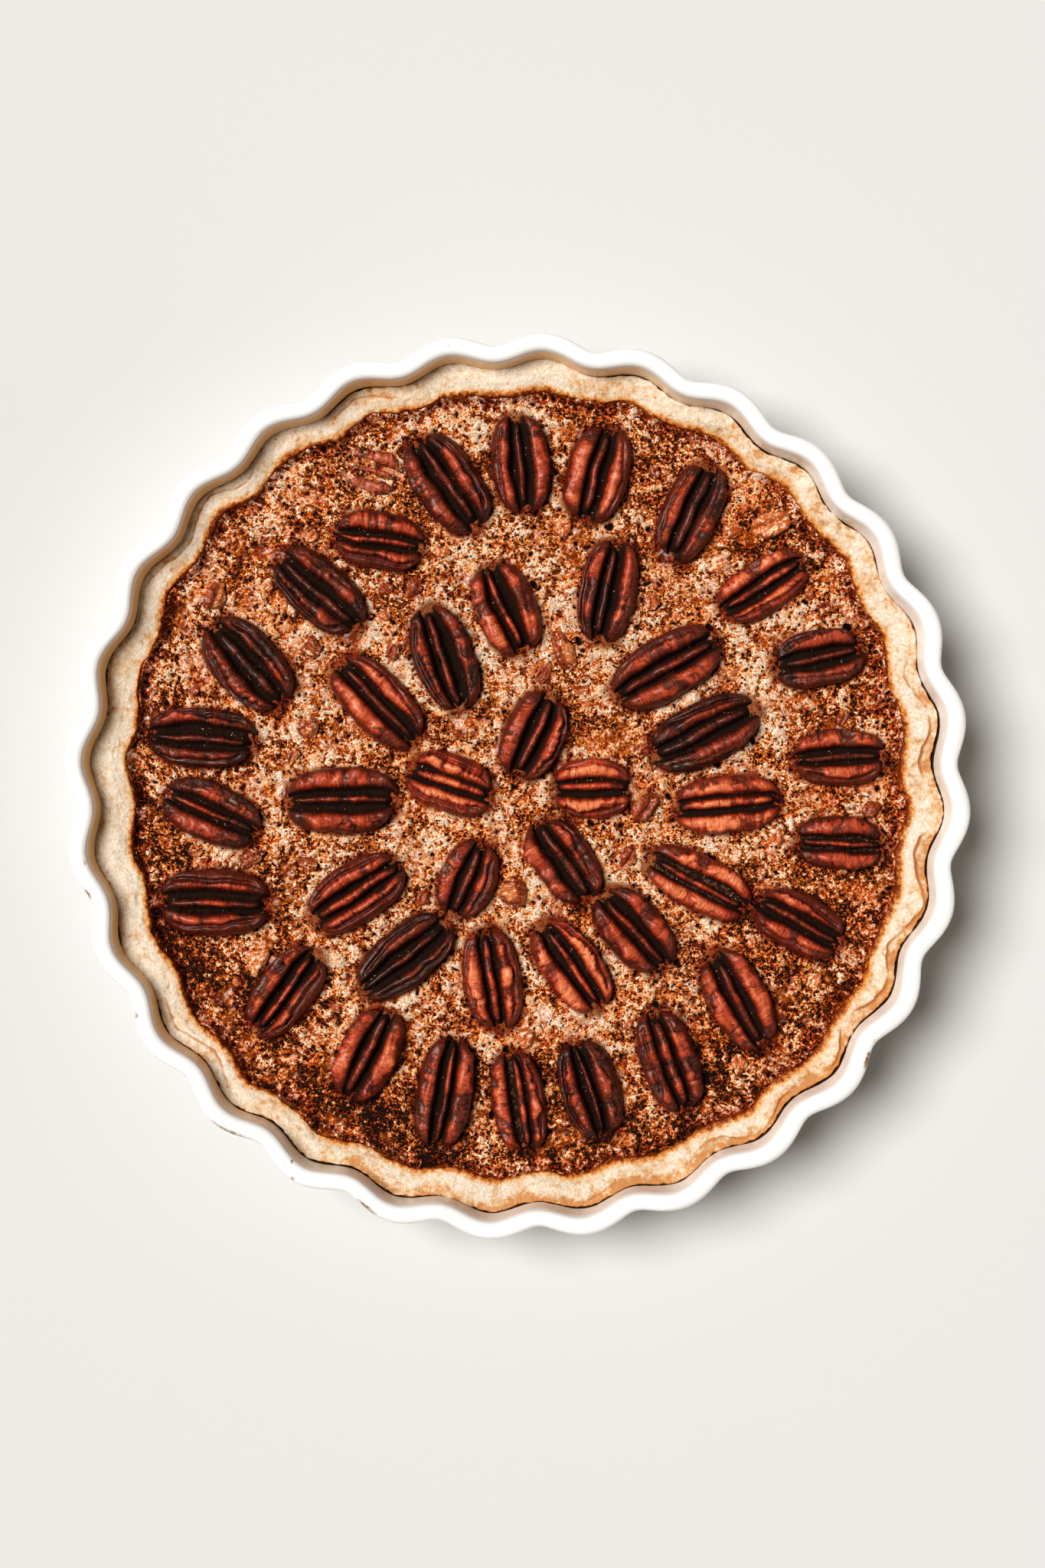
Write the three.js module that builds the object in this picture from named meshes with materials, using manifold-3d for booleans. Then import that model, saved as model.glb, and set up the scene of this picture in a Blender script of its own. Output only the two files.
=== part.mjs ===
// Pecan pie in a fluted porcelain tart dish.
// Millimetres, +Z up. The origin is the middle of the foot ring, on the surface the dish stands on.
// The dish, the pastry case, the filling and every pecan half are separate closed solids.

import * as THREE from 'three';
import { mergeVertices } from 'three/addons/utils/BufferGeometryUtils.js';
import Module from 'manifold-3d';

const wasm = await Module();
wasm.setup();

const { degToRad } = THREE.MathUtils;

// ---- Driving dimensions --------------------------------------------------------------------------------

// Dish
const DISH_RADIUS = 140; // over the crests of the flutes, at the lip
const DISH_HEIGHT = 38;
const FLUTES = 28;
const FIRST_CREST = degToRad(9.2);
const OUTER_FLUTE = 4.1; // crest to valley at the lip, outside
const INNER_FLUTE = 3.7; // and inside
const VALLEY_TIGHTNESS = 0.35; // 0 gives knife-edged valleys, 1 an even wave
const WALL_SLOPE = Math.tan(degToRad(15));
const WALL = 4.7;
const LIP_ROUND = 2.2; // height of the lip's rounding
const DISH_FLOOR = 5;
const FLOOR_FILLET = 4;
const FOOT_RADIUS = 126.5;
const FOOT_WIDTH = 4;
const FOOT_RECESS = 1.5;

// Pastry case
const CASE_GAP = 0.9; // the baked case has shrunk from the dish by this much
const CASE_SEAT = 0.35; // between the floor of the dish and the pastry
const CASE_BASE = 4;
const CASE_TOP = 29.3;
const CASE_INNER_RADIUS = 121.3; // mean, where the filling meets the pastry
const CASE_INNER_LEAN = 5; // how much narrower the hollow is at its floor
const CASE_INNER_FLUTE = 1.1; // half the swing of the flutes at the filling's edge

// Filling
const FILLING_TOP = 25;
const FILLING_EDGE_DROP = 0.8;
const FILLING_EDGE_BAND = 4;
const CLEARANCE = 0.35; // between pieces that touch

// Pecan halves
const NUT_HEIGHT = 0.42; // height of a half as a share of its width
const NUT_SUNK = 2; // how deep a half sits in the filling
const NUT_BLUNTNESS = 2.4; // 2 makes an ellipse from above, more a squarer outline

// Chopped nuts in the filling
const CHOPPED_COUNT = 46;
const CHOPPED_MARGIN = 1.2; // kept clear round each half and each other
const CHOPPED_REACH = 113;
const CHOPPED_SEED = 11;

// Every half, as bearing from the axis (degrees), distance from the axis, direction of its length (degrees),
// length and width. Three rings, laid by hand and so uneven.
const INNER_RING = [
  [73, 16.7, 67, 28.5, 19.3],
  [358, 23.3, 178, 25, 18.8],
  [302, 27.3, 123, 30.3, 18.2],
  [242, 33, 67, 25, 17.6],
  [177.5, 21, 160, 28.5, 18.4],
];
const MIDDLE_RING = [
  [93.5, 55.4, 112, 30.5, 19.2],
  [65, 67.1, 80, 33.2, 18.4],
  [38.5, 59.2, 31, 36.7, 20],
  [16, 60.5, 25, 36.7, 19.2],
  [355, 65.5, 6, 33.6, 18.4],
  [332, 64.2, 152, 35.3, 17.6],
  [309, 57.8, 132, 31.2, 18.8],
  [286.5, 58.4, 126, 32.7, 18.4],
  [262.5, 60.8, 100, 32.5, 18],
  [236.5, 63.8, 40, 35.3, 18.4],
  [213.5, 60.2, 34, 32.8, 19.2],
  [184.7, 55, 1, 35.6, 20.8],
  [149, 50.8, 134, 36, 18.8],
  [120, 46, 111, 34.4, 18.8],
];
const OUTER_RING = [
  [103, 96.9, 123, 34.3, 20.6],
  [89.5, 100.5, 96, 31.4, 18.4],
  [75.7, 100.5, 75, 31, 20],
  [57.7, 101.2, 67, 33.6, 18],
  [39, 98.6, 31, 31, 17.2],
  [23, 102, 12, 29, 18],
  [5, 100.7, 3, 29, 17.8],
  [350, 102, 177, 28.5, 16.6],
  [334, 97.6, 153, 29.6, 18.4],
  [316, 95.6, 119, 33.8, 18.4],
  [299, 98, 109, 33.8, 18],
  [283.5, 97.4, 107, 32, 18.4],
  [270.3, 98.4, 100, 32.3, 16.6],
  [256.5, 98.3, 80, 35.2, 18],
  [241, 95.6, 64, 31, 18.4],
  [221.5, 96.6, 52, 32, 18.4],
  [201, 101.2, 179, 35, 21.2],
  [185, 95.8, 156, 32, 18.4],
  [171.3, 99.6, 176, 34.3, 19],
  [155.6, 92.4, 133, 33.2, 20.8],
  [135.4, 86.9, 138, 34.3, 18.8],
  [119.3, 87.8, 171, 28.5, 18.4],
];

// The larger chopped pieces, as bearing (degrees), distance, direction of length (degrees), length and width.
const LARGE_CHOPPED = [
  [148, 111.8, 70, 9, 7],
  [71.5, 44.8, 110, 13, 7],
  [352, 40.4, 60, 10, 8],
  [268, 33.5, 20, 9, 8],
  [195, 85.5, 25, 8, 5],
  [146, 77, 140, 7, 6],
  [164, 67.5, 30, 8, 6],
  [46, 113, 20, 12, 8],
  [80, 82.5, 30, 6, 5],
  [328, 41.2, 60, 7, 5],
  [214, 98, 60, 9, 6],
  [272, 78.5, 50, 8, 6],
];

// A half that sank while baking, so that only its ridges show: bearing, distance, direction, length, width.
const SUNKEN_HALF = [115, 108.3, 162, 22, 15];
const SUNKEN_RISE = 1.5; // how far its ridges stand out of the filling

// ---- Flutes and unevenness -----------------------------------------------------------------------------

// The flutes outside: round crests (1) and tight valleys (-1).
function tightWave(angle) {
  const across = Math.cos((FLUTES * (angle - FIRST_CREST)) / 2);
  const rise = Math.hypot(across, VALLEY_TIGHTNESS) - VALLEY_TIGHTNESS;
  return (2 * rise) / (Math.hypot(1, VALLEY_TIGHTNESS) - VALLEY_TIGHTNESS) - 1;
}

// The flutes inside: an even wave.
function evenWave(angle) {
  return Math.cos(FLUTES * (angle - FIRST_CREST));
}

// Where the cook pressed the pastry thicker or thinner, in mm.
function handWander(angle) {
  const fourThumbs = 1.1 * Math.cos(4 * (angle - degToRad(48)));
  return fourThumbs - 0.7 * Math.cos(2 * angle) + 0.5 * Math.sin(angle);
}

// Each gives a point's swing at an angle, for a share of the full flute depth at its height.
const round = () => 0;
const outside = (share) => (angle) => share * (OUTER_FLUTE / 2) * tightWave(angle);
const inside = (share) => (angle) => share * (INNER_FLUTE / 2) * evenWave(angle);
const fillingEdge = (share) => (angle) => CASE_INNER_FLUTE * evenWave(angle) + share * handWander(angle);

// ---- Making solids -------------------------------------------------------------------------------------

// Turns a profile of [radius, height, swing] about the dish's axis, from the axis below to the axis above.
function turned(profile, segments) {
  const points = profile.map(([radius, height]) => new THREE.Vector2(radius, height));
  const geometry = new THREE.LatheGeometry(points, segments);
  const { position } = geometry.attributes;
  for (let i = 0; i < position.count; i++) {
    const step = Math.floor(i / profile.length) % segments;
    const angle = FIRST_CREST + (2 * Math.PI * step) / segments;
    const [radius, height, swing] = profile[i % profile.length];
    const reach = radius === 0 ? 0 : radius + swing(angle);
    position.setXYZ(i, reach * Math.cos(angle), reach * Math.sin(angle), height);
  }
  return geometry;
}

function toSolid(geometry) {
  const bare = geometry.clone();
  bare.deleteAttribute('normal');
  bare.deleteAttribute('uv');
  const merged = mergeVertices(bare, 1e-3);
  const mesh = new wasm.Mesh({
    numProp: 3,
    vertProperties: merged.attributes.position.array,
    triVerts: new Uint32Array(merged.index.array),
  });
  return new wasm.Manifold(mesh);
}

function toGeometry(solid) {
  const { vertProperties, triVerts } = solid.getMesh();
  const geometry = new THREE.BufferGeometry();
  geometry.setAttribute('position', new THREE.BufferAttribute(vertProperties, 3));
  geometry.setIndex(new THREE.BufferAttribute(triVerts, 1));
  geometry.computeVertexNormals();
  return geometry;
}

function piece(name, geometry, color, roughness) {
  const material = new THREE.MeshStandardMaterial({ color, roughness, metalness: 0, flatShading: true });
  const mesh = new THREE.Mesh(geometry, material);
  mesh.name = name;
  return mesh;
}

// Numbers from 0 to 1 that are the same on every run.
function seededDraws(seed) {
  let state = seed;
  return () => {
    state = (Math.imul(state, 1664525) + 1013904223) >>> 0;
    return state / 2 ** 32;
  };
}

// ---- Dish ----------------------------------------------------------------------------------------------

const LIP_START = DISH_HEIGHT - LIP_ROUND;
const outerRadius = (height) => DISH_RADIUS - OUTER_FLUTE / 2 - (LIP_START - height) * WALL_SLOPE;
const innerRadius = (height) => outerRadius(height) - WALL;

function makeDish() {
  const heel = 2.5;
  const filletTop = DISH_FLOOR + FLOOR_FILLET;
  const footInner = FOOT_RADIUS - FOOT_WIDTH;
  const lipMiddle = (outerRadius(LIP_START) + innerRadius(LIP_START)) / 2;
  const profile = [
    [0, FOOT_RECESS, round],
    [footInner - 1, FOOT_RECESS, round],
    [footInner, 0, round],
    [FOOT_RADIUS, 0, round],
    [outerRadius(heel), heel, outside(0.55)],
    [outerRadius(LIP_START), LIP_START, outside(1)],
    [lipMiddle + 1.3, DISH_HEIGHT - 0.5, outside(0.95)],
    [lipMiddle, DISH_HEIGHT, inside(0.95)],
    [lipMiddle - 1.3, DISH_HEIGHT - 0.5, inside(1)],
    [innerRadius(LIP_START), LIP_START, inside(1)],
    [innerRadius(filletTop), filletTop, inside(0.65)],
    [innerRadius(filletTop) - 3.5, DISH_FLOOR, inside(0.3)],
    [0, DISH_FLOOR, round],
  ];
  return piece('tart_dish', turned(profile, FLUTES * 6), '#f5f4f1', 0.2);
}

// ---- Pastry case ---------------------------------------------------------------------------------------

const CASE_FLOOR = DISH_FLOOR + CASE_SEAT + CASE_BASE;

// Mean radius of the hollow in the pastry at a height.
function hollowRadius(height) {
  return CASE_INNER_RADIUS - (CASE_INNER_LEAN * (FILLING_TOP - height)) / (FILLING_TOP - CASE_FLOOR);
}

function makeCase() {
  const underside = DISH_FLOOR + CASE_SEAT;
  const filletTop = DISH_FLOOR + FLOOR_FILLET + 0.4;
  const shoulder = CASE_TOP - 2;
  const outer = (height) => innerRadius(height) - CASE_GAP;
  const bandMiddle = (outer(CASE_TOP) + CASE_INNER_RADIUS) / 2;
  const profile = [
    [0, underside, round],
    [outer(filletTop) - 3.6, underside, inside(0.3)],
    [outer(filletTop), filletTop, inside(0.6)],
    [outer(shoulder), shoulder, inside(0.75)],
    [outer(CASE_TOP) - 1.2, CASE_TOP - 0.3, inside(0.7)],
    [bandMiddle, CASE_TOP, inside(0.6)],
    [hollowRadius(FILLING_TOP) + 1.6, CASE_TOP - 1.5, fillingEdge(1)],
    [hollowRadius(FILLING_TOP), FILLING_TOP, fillingEdge(1)],
    [hollowRadius(CASE_FLOOR), CASE_FLOOR, fillingEdge(0)],
    [0, CASE_FLOOR, round],
  ];
  return piece('pastry_case', turned(profile, FLUTES * 4), '#e6cfa4', 0.85);
}

// ---- Pecan halves --------------------------------------------------------------------------------------

// Across and up, once round the section of a half from its right-hand edge over the top:
// a lobe, a furrow, the middle ridge, a furrow, a lobe, and the flat underside.
const NUT_SECTION = [
  [1, 0.4],
  [0.62, 0.97],
  [0.27, 0.62],
  [0, 0.86],
  [-0.27, 0.62],
  [-0.62, 0.97],
  [-1, 0.4],
  [-0.8, 0.08],
  [-0.4, 0],
  [0, 0],
  [0.4, 0],
  [0.8, 0.08],
];
const NUT_STATIONS = 5;
const NUT_MIDDLE = NUT_SECTION[0][1];

// Share of the full width at a place along the nut, from -1 at one tip to 1 at the other.
function nutTaper(along) {
  return (1 - Math.abs(along) ** NUT_BLUNTNESS) ** (1 / NUT_BLUNTNESS);
}

const nutAlong = (station) => Math.cos((Math.PI * station) / NUT_STATIONS);

// A half lying on its flat side, its length along X: a sphere whose rings become the sections.
function nutGeometry(length, width) {
  const height = NUT_HEIGHT * width;
  const around = NUT_SECTION.length;
  const geometry = new THREE.SphereGeometry(1, around, NUT_STATIONS);
  const { position } = geometry.attributes;
  for (let i = 0; i < position.count; i++) {
    const along = nutAlong(Math.floor(i / (around + 1)));
    const taper = nutTaper(Math.min(1, Math.abs(along)));
    const [across, up] = NUT_SECTION[(i % (around + 1)) % around];
    position.setXYZ(
      i,
      (length / 2) * along,
      (width / 2) * across * taper,
      height * (NUT_MIDDLE + (up - NUT_MIDDLE) * taper ** 0.7),
    );
  }
  return geometry;
}

// The pocket a half sits in: its outline from above with clearance, from its underside upwards.
function pocketGeometry(length, width) {
  const rim = [];
  for (let station = 0; station < 2 * NUT_STATIONS; station++) {
    const along = nutAlong(station);
    const side = station <= NUT_STATIONS ? 1 : -1;
    const across = side * nutTaper(Math.min(1, Math.abs(along))) * (width / 2);
    const reach = Math.hypot(along * (length / 2), across);
    const grow = 1 + (CLEARANCE * 1.3) / reach;
    rim.push(new THREE.Vector2(along * (length / 2) * grow, across * grow));
  }
  const depth = 2 * (NUT_SUNK + CLEARANCE);
  return new THREE.ExtrudeGeometry(new THREE.Shape(rim), { depth, bevelEnabled: false });
}

function placeFromRow([bearing, distance, turn, length, width]) {
  const angle = degToRad(bearing);
  const x = distance * Math.cos(angle);
  const y = distance * Math.sin(angle);
  return { x, y, turn: degToRad(turn), length, width };
}

const nuts = [...INNER_RING, ...MIDDLE_RING, ...OUTER_RING].map(placeFromRow);

function makeNut({ x, y, turn, length, width }, index) {
  const name = `pecan_${String(index + 1).padStart(2, '0')}`;
  const mesh = piece(name, nutGeometry(length, width), '#7a3118', 0.4);
  mesh.position.set(x, y, FILLING_TOP - NUT_SUNK);
  mesh.rotation.z = turn;
  return mesh;
}

// ---- Filling -------------------------------------------------------------------------------------------

// Whether a point is further than margin from the outline of a half or a chopped piece.
function isClearOf({ x, y, turn, length, width }, pointX, pointY, margin) {
  const along = (pointX - x) * Math.cos(turn) + (pointY - y) * Math.sin(turn);
  const across = (pointY - y) * Math.cos(turn) - (pointX - x) * Math.sin(turn);
  const reach = Math.hypot(along / (length / 2 + margin), across / (width / 2 + margin));
  return reach > 1;
}

// The large pieces by hand, then small ones wherever there is room.
function layChoppedNuts() {
  const draw = seededDraws(CHOPPED_SEED);
  const laid = LARGE_CHOPPED.map(placeFromRow);
  while (laid.length < CHOPPED_COUNT) {
    const distance = CHOPPED_REACH * Math.sqrt(draw());
    const angle = 2 * Math.PI * draw();
    const length = 3.5 + 3 * draw();
    const turn = Math.PI * draw();
    const spot = { x: distance * Math.cos(angle), y: distance * Math.sin(angle), turn, length, width: 0.75 * length };
    const margin = CHOPPED_MARGIN + length / 2;
    if ([...nuts, ...laid].every((other) => isClearOf(other, spot.x, spot.y, margin))) laid.push(spot);
  }
  return laid;
}

// A chopped piece: a chunk with its middle just under the surface of the filling.
function choppedGeometry({ x, y, turn, length, width }) {
  const thickness = 0.55 * width;
  return new THREE.IcosahedronGeometry(1, 0)
    .scale(length / 2, width / 2, thickness / 2)
    .rotateZ(turn)
    .translate(x, y, FILLING_TOP - 0.1 * thickness);
}

function sunkenHalfGeometry() {
  const { x, y, turn, length, width } = placeFromRow(SUNKEN_HALF);
  const height = NUT_HEIGHT * width;
  return nutGeometry(length, width)
    .rotateZ(turn)
    .translate(x, y, FILLING_TOP + SUNKEN_RISE - height);
}

function makeFilling() {
  const bottom = CASE_FLOOR + CLEARANCE;
  const edge = FILLING_TOP - FILLING_EDGE_DROP;
  const profile = [
    [0, bottom, round],
    [hollowRadius(bottom) - CLEARANCE, bottom, fillingEdge(0)],
    [hollowRadius(edge) - CLEARANCE, edge, fillingEdge(0.95)],
    [hollowRadius(edge) - FILLING_EDGE_BAND, FILLING_TOP, round],
    [0, FILLING_TOP, round],
  ];
  const lumps = [...layChoppedNuts().map(choppedGeometry), sunkenHalfGeometry()];
  const base = toSolid(turned(profile, FLUTES * 4));
  const lumpy = lumps.reduce((solid, lump) => solid.add(toSolid(lump)), base);
  const filled = nuts.reduce((solid, { x, y, turn, length, width }) => {
    const pocket = pocketGeometry(length, width)
      .rotateZ(turn)
      .translate(x, y, FILLING_TOP - NUT_SUNK - CLEARANCE);
    return solid.subtract(toSolid(pocket));
  }, lumpy);
  return piece('filling', toGeometry(filled), '#a2602b', 0.6);
}

// ---- The pie -------------------------------------------------------------------------------------------

const group = new THREE.Group();
group.name = 'pecan_pie';
group.add(makeDish(), makeCase(), makeFilling(), ...nuts.map(makeNut));

export default group;
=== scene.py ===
import itertools
import math

import bmesh
import bpy
import numpy as np
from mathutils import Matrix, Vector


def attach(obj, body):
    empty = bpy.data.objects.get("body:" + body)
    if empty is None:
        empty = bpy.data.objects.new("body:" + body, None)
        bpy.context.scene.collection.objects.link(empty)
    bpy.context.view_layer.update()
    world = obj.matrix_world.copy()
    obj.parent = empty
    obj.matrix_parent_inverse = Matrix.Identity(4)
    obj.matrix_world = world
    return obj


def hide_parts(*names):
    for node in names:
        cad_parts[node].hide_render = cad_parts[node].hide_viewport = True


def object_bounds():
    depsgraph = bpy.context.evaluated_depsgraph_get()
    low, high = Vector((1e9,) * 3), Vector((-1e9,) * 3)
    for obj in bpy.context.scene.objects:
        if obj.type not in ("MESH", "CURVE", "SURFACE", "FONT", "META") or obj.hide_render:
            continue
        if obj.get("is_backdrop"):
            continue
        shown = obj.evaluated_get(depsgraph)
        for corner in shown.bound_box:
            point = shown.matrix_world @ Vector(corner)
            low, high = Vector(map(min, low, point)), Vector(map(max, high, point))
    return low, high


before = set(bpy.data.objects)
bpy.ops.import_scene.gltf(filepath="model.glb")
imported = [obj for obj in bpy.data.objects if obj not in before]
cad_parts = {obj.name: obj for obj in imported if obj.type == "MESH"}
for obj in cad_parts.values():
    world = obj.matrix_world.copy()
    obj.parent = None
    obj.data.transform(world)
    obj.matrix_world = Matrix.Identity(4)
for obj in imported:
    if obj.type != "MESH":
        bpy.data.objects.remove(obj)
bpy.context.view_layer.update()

# ---- Camera --------------------------------------------------------------------------------------------
# A camera on a boom, looking straight down on the pie. The long side of its frame runs up the table.

MM = 0.001
LIP_HEIGHT = 38
VIEW_HEIGHT = 700  # of the lens above the lip of the dish, mm
VIEW_LENGTH = 481.1  # what the long side of the frame takes in at the lip, mm
VIEW_MIDDLE = (1.53, 0.70)

overhead = bpy.data.cameras.new("overhead")
overhead.sensor_width = 36
overhead.lens = overhead.sensor_width * VIEW_HEIGHT / VIEW_LENGTH
camera = bpy.data.objects.new("overhead", overhead)
camera.location = [MM * place for place in (*VIEW_MIDDLE, LIP_HEIGHT + VIEW_HEIGHT)]
bpy.context.scene.collection.objects.link(camera)
bpy.context.scene.camera = camera

# ---- Tart dish -----------------------------------------------------------------------------------------
# A round porcelain tart dish with 28 flutes, slip cast in one piece, rounded at the lip and glazed white.
# It stands on an unglazed foot ring. Syrup has baked on to its lip in a few places.

FLUTES = 28
FIRST_CREST = math.radians(9.2)
OUTER_SWING = 2.05  # half the depth of a flute at the lip, outside, mm
INNER_SWING = 1.85  # and inside
VALLEY_TIGHTNESS = 0.35
LIP_START = 35.8
WALL = 4.7
WALL_SLOPE = math.tan(math.radians(15))
DISH_STEPS = FLUTES * 24


def tight_wave(angle):
    """The flutes outside: round crests (1) and tight valleys (-1)."""
    across = np.cos(FLUTES * (angle - FIRST_CREST) / 2)
    rise = np.hypot(across, VALLEY_TIGHTNESS) - VALLEY_TIGHTNESS
    return 2 * rise / (math.hypot(1, VALLEY_TIGHTNESS) - VALLEY_TIGHTNESS) - 1


def even_wave(angle):
    """The flutes inside: an even wave."""
    return np.cos(FLUTES * (angle - FIRST_CREST))


def outer_radius(height):
    return 140 - OUTER_SWING - (LIP_START - height) * WALL_SLOPE


def inner_radius(height):
    return outer_radius(height) - WALL


def softened(profile, passes):
    """Points along a profile whose rows end with the number of steps to the next row, corners rounded."""
    rows = np.array(profile, float)
    steps = rows[:-1, -1].astype(int)
    shares = [np.arange(count)[:, None] / count for count in steps]
    line = [rows[i, :-1] + share * (rows[i + 1, :-1] - rows[i, :-1]) for i, share in enumerate(shares)]
    line = np.concatenate(line + [rows[-1:, :-1]])
    for _ in range(passes):
        line[1:-1] = (line[:-2] + 2 * line[1:-1] + line[2:]) / 4
    return line


def scattered(cells, seed):
    """A number from 0 to 1 for every whole-number place, the same on each run."""
    x, y, z = np.moveaxis(cells, -1, 0)
    mixed = x * 374761393 + y * 668265263 + z * 1440662683 + seed * 1013904223
    mixed = (mixed ^ (mixed >> 13)) * 1274126177
    mixed = mixed ^ (mixed >> 16)
    return (mixed & 0xFFFFFF) / 0xFFFFFF


def lumps(points, size, seed):
    """Smooth unevenness from -1 to 1 in bumps about `size` wide."""
    scaled = points / size
    cells = np.floor(scaled).astype(np.int64)
    inside = scaled - cells
    ease = inside * inside * (3 - 2 * inside)
    total = np.zeros(points.shape[:-1])
    for corner in itertools.product((0, 1), repeat=3):
        weight = np.prod(np.where(corner, ease, 1 - ease), axis=-1)
        total += weight * scattered(cells + corner, seed)
    return 2 * total - 1


def crags(points, size, octaves, seed):
    """Unevenness in bumps from `size` down, each octave half as wide and half as high."""
    total = np.zeros(points.shape[:-1])
    for octave in range(octaves):
        total += lumps(points, size / 2**octave, seed + octave) / 2**octave
    return total


def eased(value, low, high):
    """0 below low, 1 above high, and a smooth rise between them."""
    share = np.clip((value - low) / (high - low), 0, 1)
    return share * share * (3 - 2 * share)


def new_piece(name, points, faces, marks=None):
    """A smooth-shaded mesh object from points in mm. Marks are numbers or vectors held at each point."""
    mesh = bpy.data.meshes.new(name)
    mesh.from_pydata((np.asarray(points) * MM).tolist(), [], faces)
    mesh.shade_smooth()
    for mark, values in (marks or {}).items():
        values = np.asarray(values, np.float32)
        kind, field = ("FLOAT", "value") if values.ndim == 1 else ("FLOAT_VECTOR", "vector")
        mesh.attributes.new(mark, kind, "POINT").data.foreach_set(field, values.ravel())
    piece = bpy.data.objects.new(name, mesh)
    bpy.context.scene.collection.objects.link(piece)
    return piece


def ring_faces(rings, around):
    """Faces between closed rings of points, with one face over each end."""
    ring, step = np.meshgrid(np.arange(rings - 1), np.arange(around), indexing="ij")
    here = ring * around
    after = (step + 1) % around
    quads = np.stack([here + step, here + after, here + around + after, here + around + step], axis=-1)
    last = (rings - 1) * around
    ends = [list(range(around))[::-1], list(range(last, last + around))]
    return quads.reshape(-1, 4).tolist() + ends


def stick(piece, slot, finish, *nodes):
    """Gives a piece its finish, fixes it to the pie and hides the solids it stands for."""
    piece.data.materials.append(finish)
    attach(piece, "root")
    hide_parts(*nodes)


def colour(red, green, blue):
    """A colour as screens give it, 0 to 255, as the renderer takes it."""
    screen = np.array([red, green, blue]) / 255
    linear = np.where(screen <= 0.04045, screen / 12.92, ((screen + 0.055) / 1.055) ** 2.4)
    return (*linear.tolist(), 1.0)


def start_finish(name):
    """A new material with its node tree and its shader."""
    finish = bpy.data.materials.new(name)
    finish.use_nodes = True
    return finish, finish.node_tree, finish.node_tree.nodes["Principled BSDF"]


def add_node(tree, kind, inputs=None, **settings):
    """Adds a shader node. Inputs that are sockets are linked, and all others are set."""
    node = tree.nodes.new("ShaderNode" + kind)
    for setting, value in settings.items():
        setattr(node, setting, value)
    for socket, value in (inputs or {}).items():
        if isinstance(value, bpy.types.NodeSocket):
            tree.links.new(value, node.inputs[socket])
        else:
            node.inputs[socket].default_value = value
    return node


def mark(tree, name):
    """A number that the mesh holds at each point."""
    return add_node(tree, "Attribute", attribute_name=name).outputs["Fac"]


def mottle(tree, place, size, detail=2.0, roughness=0.6, warp=0.0):
    """Cloudy noise from 0 to 1 in patches about `size` mm wide."""
    inputs = {"Vector": place, "Scale": 1 / (size * MM), "Detail": detail}
    inputs |= {"Roughness": roughness, "Distortion": warp}
    return add_node(tree, "TexNoise", inputs).outputs["Fac"]


def between(tree, value, low, high, least=0.0, most=1.0):
    """Turns low to high into least to most, with soft ends."""
    inputs = {"Value": value, "From Min": low, "From Max": high, "To Min": least, "To Max": most}
    return add_node(tree, "MapRange", inputs, interpolation_type="SMOOTHSTEP").outputs["Result"]


def sums(tree, operation, first, second):
    return add_node(tree, "Math", {0: first, 1: second}, operation=operation).outputs[0]


def blend(tree, share, first, second, kind="MIX"):
    """Mixes two colours by a share from 0 to 1."""
    inputs = {0: share, 6: first, 7: second}
    return add_node(tree, "Mix", inputs, data_type="RGBA", blend_type=kind).outputs[2]


def relief(tree, height, depth, before=None):
    """Fine relief, `depth` mm deep, over any relief before it."""
    inputs = {"Height": height, "Distance": depth * MM}
    if before:
        inputs["Normal"] = before
    return add_node(tree, "Bump", inputs).outputs["Normal"]


LIP_MIDDLE = (outer_radius(LIP_START) + inner_radius(LIP_START)) / 2
# Rows are radius, height, share of the outer flutes, share of the inner flutes, steps to the next row.
DISH_PROFILE = [
    (1, 1.5, 0, 0, 3),
    (121.5, 1.5, 0, 0, 3),
    (122.5, 0, 0, 0, 4),
    (126.5, 0, 0, 0, 5),
    (outer_radius(2.5), 2.5, 0.55, 0, 14),
    (outer_radius(LIP_START), LIP_START, 1, 0, 6),
    (LIP_MIDDLE + 1.5, 37.5, 0.95, 0, 3),
    (LIP_MIDDLE + 0.1, 38, 0, 0.95, 4),
    (LIP_MIDDLE - 2.0, 37.8, 0, 1, 4),
    (LIP_MIDDLE - 3.1, 36.9, 0, 1, 3),
    (LIP_MIDDLE - 3.5, 35.2, 0, 1, 8),
    (inner_radius(29), 29, 0, 0.92, 6),
    (inner_radius(9), 9, 0, 0.65, 4),
    (inner_radius(9) - 3.5, 5, 0, 0.3, 3),
    (1, 5, 0, 0, 0),
]
# Baked-on marks on the lip: bearing and half width in degrees, how far out from the lip's middle in mm,
# and strength.
BAKED_MARKS = [
    (322, 1.3, 1.6, 1.0),
    (324.5, 0.7, 0.6, 0.5),
    (194, 1.2, 1.8, 0.8),
    (211, 0.8, 1.7, 0.7),
    (221, 0.7, 1.7, 0.5),
    (230, 3.6, 1.8, 0.75),
    (240, 0.9, 1.6, 0.6),
    (250.5, 2.6, 1.7, 0.7),
    (105, 4, 0.5, 0.25),
    (154.5, 1.2, 0.8, 0.4),
    (177, 0.7, -0.6, 0.4),
    (190, 0.5, -2.2, 0.6),
    (239, 0.6, -2.2, 0.6),
]

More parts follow.
